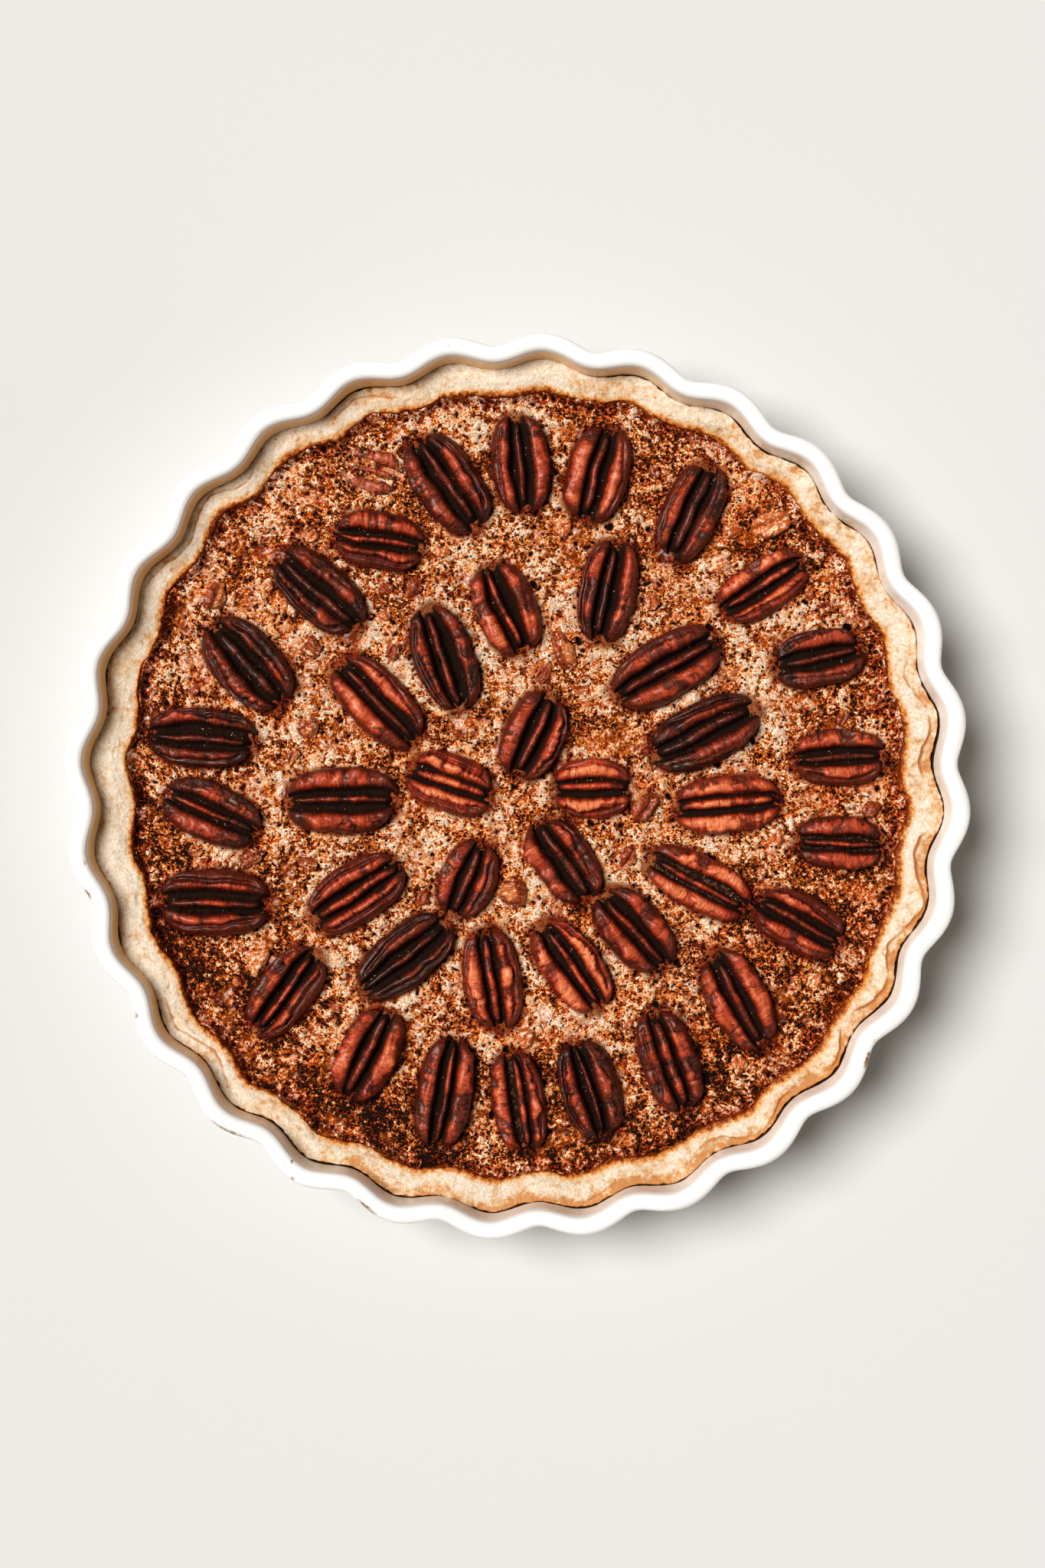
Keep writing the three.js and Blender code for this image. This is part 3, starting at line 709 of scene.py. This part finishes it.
# What each half can differ in, with the usual value.
USUAL_NUT = {
    "tone": 0.5,  # 0 is nearly black, 1 is bright orange brown
    "lobe": 0.6,  # from the middle to the crest of a lobe, as a share of half the nut's width
    "furrow_side": 0.31,  # from that crest in to the furrow
    "ridge": 0.18,  # half the width of the middle ridge
    "ridge_height": 0.78,
    "furrow": 0.12,  # height of the furrows' floor
    "wrinkle": 0.5,  # depth of the wrinkles across, mm
    "streak": 0.05,  # and of those along it
    "split_left": 0.0,  # depth of a second furrow in a lobe, as a share of its height
    "split_right": 0.0,
    "foam": 0.0,
}
NUT_TRAITS = {
    "pecan_02": {"tone": 0.85, "split_right": 0.3},
    "pecan_05": {"tone": 0.8},
    "pecan_07": {"split_right": 0.5, "ridge": 0.17, "streak": 0.2},
    "pecan_09": {"tone": 0.18, "ridge": 0.22, "streak": 0.25},
    "pecan_10": {"tone": 0.9, "ridge": 0.21, "ridge_height": 0.92},
    "pecan_11": {"tone": 0.82, "wrinkle": 0.65},
    "pecan_12": {"tone": 0.35, "wrinkle": 0.6},
    "pecan_13": {"tone": 0.85, "wrinkle": 0.65},
    "pecan_14": {"tone": 0.8, "split_right": 0.45},
    "pecan_15": {"tone": 0.2, "split_left": 0.45, "split_right": 0.45, "streak": 0.2},
    "pecan_17": {"tone": 0.42, "wrinkle": 0.75},
    "pecan_19": {"tone": 0.28, "wrinkle": 0.65},
    "pecan_20": {"tone": 0.26, "wrinkle": 0.65},
    "pecan_24": {"tone": 0.8, "split_left": 0.4},
    "pecan_25": {"tone": 0.26, "wrinkle": 0.6},
    "pecan_27": {"tone": 0.3},
    "pecan_30": {"ridge": 0.24, "ridge_height": 0.95, "tone": 0.4},
    "pecan_31": {"tone": 0.2, "wrinkle": 0.8, "ridge": 0.12},
    "pecan_34": {"wrinkle": 0.7, "tone": 0.55},
    "pecan_35": {"wrinkle": 0.8, "tone": 0.55, "split_left": 0.3},
    "pecan_36": {"split_left": 0.5, "split_right": 0.5, "tone": 0.4},
    "pecan_37": {"tone": 0.28, "wrinkle": 0.65},
    "pecan_38": {"tone": 0.2, "split_left": 0.4, "split_right": 0.35, "streak": 0.2},
    "pecan_39": {"tone": 0.28, "wrinkle": 0.6},
    "pecan_40": {"tone": 0.2, "wrinkle": 0.65},
    "pecan_41": {"split_right": 0.5, "tone": 0.5},
}


def creased(points, size, seed):
    """Round swells with sharp creases between them, from about -0.5 to 0.5."""
    return np.abs(lumps(points, size, seed)) ** 0.6 - 0.5


def nut_points(lie, traits, seed):
    """Rings of points from one tip of a half to the other, in mm, with what its finish needs."""
    middle, direction, half_length, half_width, under, top = lie
    draw = np.random.default_rng(seed)
    rise = top - under
    along = -np.cos(np.pi * np.arange(NUT_STATIONS + 1) / NUT_STATIONS)[:, None]
    along = np.clip(along, -0.9985, 0.9985)
    taper = (1 - np.abs(along) ** NUT_BLUNTNESS) ** (1 / NUT_BLUNTNESS)
    over = np.pi * np.arange(NUT_TOP_STEPS) / NUT_TOP_STEPS
    below = np.pi + np.pi * np.arange(NUT_UNDER_STEPS) / NUT_UNDER_STEPS
    around = np.concatenate([over, below])[None, :]
    upper = around < np.pi
    aside = np.cos(around) * np.ones_like(along)
    out = aside * taper
    steps_along = np.concatenate([along * half_length, 0 * along, 0 * along], axis=-1)

    def wander(seed_step):
        """How far a ridge strays sideways at each place along the nut, as a share of half its width."""
        spots = steps_along + 37 * seed + 11 * seed_step
        return (0.06 * lumps(spots, 10, 3) + 0.025 * lumps(spots, 3.7, 4))[:, None]

    lean = draw.uniform(-0.05, 0.05)
    centre = out - (lean + draw.uniform(-0.07, 0.07) * along) * taper

    def lengthways(start, end, seed_step):
        """How high a ridge stands at each place along the nut, between its two ends."""
        spots = steps_along + 53 * seed + 17 * seed_step
        uneven = 1 + (0.08 * lumps(spots, 8, 5) + 0.08 * lumps(spots, 3.1, 6))[:, None]
        return uneven * np.clip(1 - np.abs((2 * along - start - end) / (end - start)) ** 3.5, 0, 1) ** 0.5

    def ridge(place, inner, outer, crest, start, end, seed_step):
        """A round ridge along the nut that falls away over `inner` towards the middle and `outer` outwards."""
        squeeze = taper**0.8
        strayed = centre + wander(seed_step) * squeeze
        aside_of_crest = (strayed - place * squeeze) * (np.sign(place) or 1)
        swelling = 1 + 0.16 * lumps(steps_along + 71 * seed + 13 * seed_step, 5, 12)[:, None]
        inner_side = aside_of_crest < 0
        t = np.abs(aside_of_crest) / (np.where(inner_side, inner * swelling, outer) * squeeze)
        steep = np.clip(1 - t**2.2, 0, 1) ** 0.6
        rounded = np.clip(1 - t**2.2, 0, 1) ** 0.62
        return crest * lengthways(start, end, seed_step) * np.where(inner_side, steep, rounded)

    ends = draw.uniform(0.94, 1.03, size=6)
    left, right = traits["lobe"] * draw.uniform(0.95, 1.05, size=2)
    inner = traits["furrow_side"]
    middle_ends = (-ends[4] + 0.04, ends[5] - 0.04)
    middle_place = draw.uniform(-0.06, 0.06)
    heights = [
        ridge(-left, inner, 1.04 - left, draw.uniform(0.88, 1.0), -ends[0], ends[1], 1),
        ridge(right, inner, 1.04 - right, draw.uniform(0.88, 1.0), -ends[2], ends[3], 2),
        ridge(middle_place, traits["ridge"], traits["ridge"], traits["ridge_height"], *middle_ends, 3),
    ]
    body = traits["furrow"] * eased(-np.abs(along), -0.97, -0.75) * np.clip(1 - np.abs(aside) ** 5, 0, 1) ** 0.5
    height = (sum(ridge_height**8 for ridge_height in heights) + (body + 1e-3) ** 8) ** 0.125
    for side, depth in ((-1, traits["split_left"]), (1, traits["split_right"])):
        place = side * (0.73 + 0.06 * np.sin(2.2 * along + seed)) * taper + wander(4 + side) * 1.2
        beyond_split = eased((centre - place) * side, -0.02, 0.1)
        cut = np.exp(-(((centre - place) / 0.065) ** 2)) + 0.45 * beyond_split
        height = height * (1 - depth * cut * eased(-np.abs(along), -0.9, -0.6))
    notches = draw.uniform(0.02, 0.13, size=2)
    notch = np.where(along < 0, notches[0], notches[1]) * np.clip(1 - (out / 0.24) ** 2, 0, 1)
    trims = draw.uniform(0, 0.13, size=4)
    trims -= np.repeat(np.minimum(trims[::2], trims[1::2]), 2)  # one lobe at each tip keeps its full length
    trim = np.where(along < 0, *[np.where(aside < 0, *pair) for pair in (trims[:2], trims[2:])])
    shortened = notch + trim * eased(np.abs(out), 0.02, 0.3)
    x = along * half_length * (1 - shortened * eased(np.abs(along), 0.5, 1.0))
    spots = steps_along + 29 * seed
    bulges = [(0.05 * lumps(spots + step, 7, 13) + 0.025 * lumps(spots + step, 2.7, 14))[:, None] for step in (0, 90)]
    y = out * half_width * (1.01 + np.where(aside < 0, *bulges))
    grain_place = np.stack([x, y, 0 * x], axis=-1) + 100 * seed
    slant = draw.uniform(-0.35, 0.35)
    crossing = np.stack([x + slant * np.abs(y), y * 0.3, 0 * x], axis=-1) + 100 * seed
    lengthwise = np.stack([x * 0.12, y, 0 * x], axis=-1) + 100 * seed
    lobes = eased(height, 0.45, 0.75)
    wide_folds = lumps(crossing, 4.4, 7)
    folds = 0.8 * wide_folds + 0.9 * creased(crossing, 2.2, 8) + 0.6 * creased(grain_place, 1.5, 11)
    wrinkles = 1.4 * traits["wrinkle"] * folds * (0.6 + 1.0 * eased(np.abs(aside), 0.45, 0.8))
    wrinkles += traits["streak"] * 1.6 * lumps(lengthwise, 1.5, 9) + 0.4 * lumps(grain_place, 5.5, 10)
    middle_height = rise * (0.36 - 0.16 * eased(np.abs(along), 0.8, 0.98))
    z = middle_height + (rise - middle_height) * height
    under_height = middle_height * (1 - np.clip(-np.sin(around), 0, 1) ** 0.7)
    z = np.where(upper, z, under_height)
    push = np.where(upper, wrinkles * lobes, 0) * np.minimum(1, taper * 2.5)
    y = y + push * aside
    z = z + push * np.clip(np.sin(around), 0, 1)
    z = np.minimum(z, rise * 1.02)
    across = np.array([-direction[1], direction[0]])
    flat_places = middle + x[..., None] * direction + y[..., None] * across
    points = np.concatenate([flat_places, (under + z)[..., None]], axis=-1)
    # Furrows: syrup gathers there, and its dark colour is deepened to near-black as painted shade.
    furrowed = np.where(upper, eased(-height, -0.6, -0.32) * eased(-np.abs(aside), -0.66, -0.5), 0)
    waterline = eased(-(under + z - FILLING_TOP), -1.2, -0.2)
    tips = eased(np.abs(along), 0.72, 0.95) * np.ones_like(x)
    foamed = np.clip(0.75 * waterline + traits["foam"], 0, 1) * upper * (1 - 0.8 * tips * furrowed)
    marks = {
        "furrow": furrowed.ravel(),
        # Creases across the lobes, painted darker in the skin's colour as painted shade.
        "creased": (eased(-folds, 0.1, 0.6) * lobes * upper).ravel(),
        "foamed": foamed.ravel(),
        "tone": np.full(x.size, traits["tone"]),
        "nut_place": grain_place.reshape(-1, 3) * MM,
        # Crests, painted lighter in the skin's colour as painted highlight.
        "crest": (eased(height, 0.5, 0.95) * upper).ravel(),
    }
    return points, marks


nut_skin, tree, shader = start_finish("roasted_pecan")
place = add_node(tree, "Attribute", attribute_name="nut_place").outputs["Vector"]
stretched = add_node(tree, "Mapping", {"Vector": place, "Scale": (1.0, 0.3, 1.0)}).outputs["Vector"]
ribs = mottle(tree, stretched, 1.7, 2, 0.5, 0.6)
blotch = mottle(tree, place, 4.5, 4, 0.65, 0.3)
speckle = mottle(tree, place, 0.5, 3, 0.8)
slabs = add_node(tree, "Mapping", {"Vector": place, "Scale": (1.0, 0.25, 1.0)}).outputs["Vector"]
slab_edges = add_node(tree, "TexVoronoi", {"Vector": slabs, "Scale": 1 / (4.5 * MM)}, feature="DISTANCE_TO_EDGE")
split = between(tree, slab_edges.outputs["Distance"], 0.03, 0.008)
split = sums(tree, "MULTIPLY", split, between(tree, mottle(tree, place, 3.5, 1), 0.56, 0.62, 0, 0.5))
split = sums(tree, "MULTIPLY", split, mark(tree, "crest"))
# The skin's colour from blotches, ribs and tone, with the crests painted lighter as painted highlight and the creases
# darker as painted shade.
depth = sums(tree, "ADD", sums(tree, "MULTIPLY", blotch, 0.4), sums(tree, "MULTIPLY", ribs, 0.3))
depth = sums(tree, "ADD", depth, sums(tree, "MULTIPLY", mark(tree, "crest"), 0.3))
depth = sums(tree, "ADD", depth, sums(tree, "MULTIPLY", mark(tree, "tone"), 0.36))
depth = sums(tree, "SUBTRACT", depth, sums(tree, "MULTIPLY", mark(tree, "creased"), 0.28))
skin = blend(tree, between(tree, depth, 0.34, 0.56), colour(38, 13, 9), colour(108, 37, 19))
skin = blend(tree, between(tree, depth, 0.60, 0.80), skin, colour(190, 74, 38))
skin = blend(tree, between(tree, depth, 0.77, 1.0), skin, colour(250, 152, 104))
# A pinkish painted highlight speckled over the crests.
painted_sheen = sums(tree, "MULTIPLY", between(tree, speckle, 0.46, 0.64), mark(tree, "crest"))
skin = blend(tree, sums(tree, "MULTIPLY", painted_sheen, 0.3), skin, colour(214, 142, 112))
# The furrows' syrup, deepened to near-black as painted shade.
skin = blend(tree, between(tree, mark(tree, "furrow"), 0.05, 0.6, 0, 0.97), skin, colour(15, 6, 4))
# Pale specks in the furrows: painted glints of light on the syrup.
glint_spots = add_node(tree, "TexVoronoi", {"Vector": place, "Scale": 1 / (0.9 * MM)}).outputs["Distance"]
painted_glints = sums(tree, "MULTIPLY", between(tree, glint_spots, 0.26, 0.16), mark(tree, "furrow"))
painted_glints = sums(tree, "MULTIPLY", painted_glints, between(tree, mottle(tree, place, 3.0, 2), 0.56, 0.66))
skin = blend(tree, painted_glints, skin, colour(222, 188, 158))
# Cracks across the crests, painted dark as painted shade.
skin = blend(tree, split, skin, colour(44, 16, 10))
froth_bits = mottle(tree, place, 1.1, 3, 0.7)
froth_share = sums(tree, "MULTIPLY", between(tree, froth_bits, 0.46, 0.6), mark(tree, "foamed"))
froth_tint = blend(tree, between(tree, speckle, 0.35, 0.65), colour(190, 110, 52), colour(244, 208, 172))
skin = blend(tree, froth_share, skin, froth_tint)
tree.links.new(skin, shader.inputs["Base Color"])
tree.links.new(between(tree, mark(tree, "furrow"), 0, 0.5, 0.37, 0.9), shader.inputs["Roughness"])
tree.links.new(between(tree, mark(tree, "furrow"), 0, 0.4, 0.45, 0), shader.inputs["Coat Weight"])
shader.inputs["Coat Roughness"].default_value = 0.3
shader.inputs["Specular IOR Level"].default_value = 1.0
shader.inputs["Specular Tint"].default_value = (1.0, 0.62, 0.48, 1.0)
rib_relief = relief(tree, split, -0.3, relief(tree, ribs, 0.9))
rib_relief = relief(tree, blotch, 0.5, rib_relief)
rib_relief = relief(tree, mottle(tree, stretched, 0.8, 3, 0.6), 0.7, rib_relief)
tree.links.new(relief(tree, speckle, 0.36, rib_relief), shader.inputs["Normal"])

for number, name in enumerate(nut_names):
    draw = np.random.default_rng(500 + number)
    traits = dict(USUAL_NUT)
    traits["tone"] += draw.uniform(-0.15, 0.15)
    traits["lobe"] += draw.uniform(-0.03, 0.03)
    traits["ridge"] += draw.uniform(-0.03, 0.04)
    traits["ridge_height"] += draw.uniform(-0.14, 0.12)
    traits["furrow"] += draw.uniform(-0.06, 0.06)
    traits["split_left"] = max(0, draw.uniform(-0.25, 0.55))
    traits["split_right"] = max(0, draw.uniform(-0.25, 0.55))
    traits["wrinkle"] += draw.uniform(-0.15, 0.3)
    traits |= NUT_TRAITS.get(name, {})
    rings, marks = nut_points(lies[name], traits, 900 + number)
    half = new_piece(name + "_half", rings.reshape(-1, 3), ring_faces(*rings.shape[:2]), marks)
    half.data.flip_normals()
    stick(half, "pecan", nut_skin, name)

# ---- Sunken half ---------------------------------------------------------------------------------------
# One more pecan half, under the outer ring. It sank while the pie baked, so only its foam-covered ridges
# stand out of the filling.

SUNKEN_BEARING = math.radians(115)
SUNKEN_DISTANCE = 108.3
SUNKEN_TURN = math.radians(162)
SUNKEN_LENGTH = 22
SUNKEN_WIDTH = 15
SUNKEN_UNDER = 20.2
SUNKEN_TOP = 26.7
SUNKEN_TRAITS = {"tone": 0.36, "foam": 0.3, "wrinkle": 0.5, "ridge_height": 0.95, "furrow": 0.3}

sunken_middle = SUNKEN_DISTANCE * np.array([math.cos(SUNKEN_BEARING), math.sin(SUNKEN_BEARING)])
sunken_direction = np.array([math.cos(SUNKEN_TURN), math.sin(SUNKEN_TURN)])
sunken_lie = (sunken_middle, sunken_direction, SUNKEN_LENGTH / 2, SUNKEN_WIDTH / 2, SUNKEN_UNDER, SUNKEN_TOP)
rings, marks = nut_points(sunken_lie, USUAL_NUT | SUNKEN_TRAITS, 960)
sunken = new_piece("sunken_half", rings.reshape(-1, 3), ring_faces(*rings.shape[:2]), marks)
sunken.data.flip_normals()
stick(sunken, "pecan", nut_skin, "filling")

# ---- Chopped pecans ------------------------------------------------------------------------------------
# Pecans chopped with a knife and stirred into the filling. The bits that float stand a little out of it,
# some skin side up and some cut side up, with foam dried round them.

BIT_LENGTH_SHARE = 0.851  # a bit's four top corners span this share of its length
BIT_RISE = 0.325  # and stand this share of its thickness above the filling
BIT_FLATNESS = 0.55  # thickness as a share of width

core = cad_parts["filling"].data
corners = np.array([corner.co for corner in core.vertices]) / MM
_, spot = np.unique(np.round(corners, 2), axis=0, return_inverse=True)
spot = spot.ravel()
bit_of_spot = np.arange(spot.max() + 1)
for _ in range(4):
    for polygon in core.polygons:
        touched = [spot[corner] for corner in polygon.vertices if corners[corner, 2] > FILLING_TOP + 0.05]
        if touched:
            bit_of_spot[touched] = bit_of_spot[touched].min()
high = corners[:, 2] > FILLING_TOP + 0.05

ball = bmesh.new()
bmesh.ops.create_icosphere(ball, subdivisions=4, radius=1)
ball_points = np.array([corner.co for corner in ball.verts])
ball_faces = np.array([[corner.index for corner in face.verts] for face in ball.faces])
ball.free()

bit_points, bit_faces, bit_tones, bit_cuts, bit_places = [], [], [], [], []
for number, bit in enumerate(np.unique(bit_of_spot[spot[high]])):
    draw = np.random.default_rng(700 + number)
    tops = np.unique(np.round(corners[high & (bit_of_spot[spot] == bit)], 2), axis=0)
    middle = tops.mean(axis=0)
    if np.hypot(*(middle[:2] - sunken_middle)) < SUNKEN_LENGTH / 2:
        continue
    _, _, axes = np.linalg.svd(tops[:, :2] - middle[:2], full_matrices=False)
    length = np.ptp(tops[:, :2] @ axes[0]) / BIT_LENGTH_SHARE
    thickness = (tops[:, 2].max() - FILLING_TOP) / BIT_RISE
    width = thickness / BIT_FLATNESS
    shape = ball_points * (1 + 0.4 * lumps(ball_points + 9 * number, 0.8, 140)[:, None])
    cut = np.zeros(len(shape))
    for _ in range(3):
        facing = draw.normal(size=3) * (1, 1, 0.5)
        facing /= np.linalg.norm(facing)
        spare_height = shape @ facing - draw.uniform(0.6, 0.9)
        shape = shape - 0.6 * np.clip(spare_height, 0, None)[:, None] * facing
        cut = np.maximum(cut, eased(spare_height, 0.0, 0.12))
    groove = np.exp(-(((shape[:, 1] - draw.uniform(-0.3, 0.3)) / 0.22) ** 2))
    shape[:, 2] -= 0.5 * groove * (shape[:, 2] > 0)
    local = shape * (length / 2, width / 2, 0.62 * thickness)
    local = local * (1 + 0.10 * lumps(local + 50 * number, 1.1, 141)[:, None])
    local[:, 2] += 0.22 * crags(local + 50 * number, 1.5, 2, 142)
    turned = local[:, :1] * axes[0] + local[:, 1:2] * np.array([-axes[0][1], axes[0][0]])
    bit_faces.append(ball_faces + len(ball_points) * len(bit_points))
    lifted = FILLING_TOP + 0.16 * thickness + local[:, 2:]
    bit_points.append(np.concatenate([middle[:2] + turned, lifted], axis=1))
    bit_tones.append(np.full(len(shape), draw.uniform(0, 1)))
    bit_cuts.append(cut)
    bit_places.append((local + 100 * number) * MM)
bits = new_piece(
    "chopped_pecans",
    np.concatenate(bit_points),
    np.concatenate(bit_faces).tolist(),
    {
        "tone": np.concatenate(bit_tones),
        "cut": np.concatenate(bit_cuts),
        "nut_place": np.concatenate(bit_places),
    },
)

bit_finish, tree, shader = start_finish("chopped_pecan")
place = add_node(tree, "Attribute", attribute_name="nut_place").outputs["Vector"]
grain = mottle(tree, place, 1.2, 3, 0.7, 0.5)
speckle = mottle(tree, place, 0.5, 3, 0.8)
tone = mark(tree, "tone")
skin = blend(tree, between(tree, grain, 0.35, 0.65), colour(104, 42, 18), colour(186, 88, 38))
meat = blend(tree, between(tree, grain, 0.35, 0.65), colour(196, 108, 42), colour(236, 168, 100))
skin = blend(tree, between(tree, tone, 0.45, 0.8, 0, 0.7), skin, colour(210, 112, 38))
look = blend(tree, sums(tree, "MULTIPLY", mark(tree, "cut"), 0.6), skin, meat)
froth_bits = sums(tree, "ADD", mottle(tree, place, 1.3, 4, 0.75), sums(tree, "MULTIPLY", tone, 0.1))
look = blend(tree, between(tree, froth_bits, 0.59, 0.65, 0, 0.9), look, colour(246, 214, 180))
tree.links.new(look, shader.inputs["Base Color"])
shader.inputs["Roughness"].default_value = 0.45
shader.inputs["Coat Weight"].default_value = 0.3
shader.inputs["Coat Roughness"].default_value = 0.3
tree.links.new(relief(tree, speckle, 0.12, relief(tree, grain, 0.4)), shader.inputs["Normal"])
stick(bits, "pecan", bit_finish, "filling")

# ---- Table and lights ----------------------------------------------------------------------------------
# A plain pale table under one large soft window of light from the upper left, with the rest of the room
# giving a low even fill.

TABLE_SIZE = 30.0
bpy.ops.mesh.primitive_plane_add(size=TABLE_SIZE)
table = bpy.context.object
table.name = "table"
pale_top, tree, shader = start_finish("pale_table")
shader.inputs["Base Color"].default_value = colour(215, 214, 212)
shader.inputs["Roughness"].default_value = 0.85
shader.inputs["Specular IOR Level"].default_value = 0.2
table.data.materials.append(pale_top)
table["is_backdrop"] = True

LIGHT_BEARING = math.radians(160)
LIGHT_ELEVATION = math.radians(60)
window = bpy.data.lights.new("window", "SUN")
window.angle = math.radians(32)
window.energy = 2.8
window_light = bpy.data.objects.new("window", window)
window_light.rotation_euler = (0, math.pi / 2 - LIGHT_ELEVATION, LIGHT_BEARING)
window_light.location = (-0.6, 0.4, 1.0)
bpy.context.scene.collection.objects.link(window_light)

far_wall = bpy.data.lights.new("far_wall", "SUN")
far_wall.angle = math.radians(40)
far_wall.energy = 0.5
far_wall.color = (1.0, 0.94, 0.86)
far_wall_light = bpy.data.objects.new("far_wall", far_wall)
far_wall_light.rotation_euler = (0, math.radians(79), LIGHT_BEARING + math.pi)
far_wall_light.location = (0.8, -0.3, 0.5)
bpy.context.scene.collection.objects.link(far_wall_light)

room = bpy.data.worlds.new("room")
room.use_nodes = True
room.node_tree.nodes["Background"].inputs["Color"].default_value = (1, 0.86, 0.72, 1)
room.node_tree.nodes["Background"].inputs["Strength"].default_value = 0.09
bpy.context.scene.world = room
bpy.context.scene.view_settings.view_transform = "Standard"
bpy.context.scene.view_settings.look = "High Contrast"

# ---- Sizes ---------------------------------------------------------------------------------------------
# The box of the dressed pie.

low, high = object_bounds()
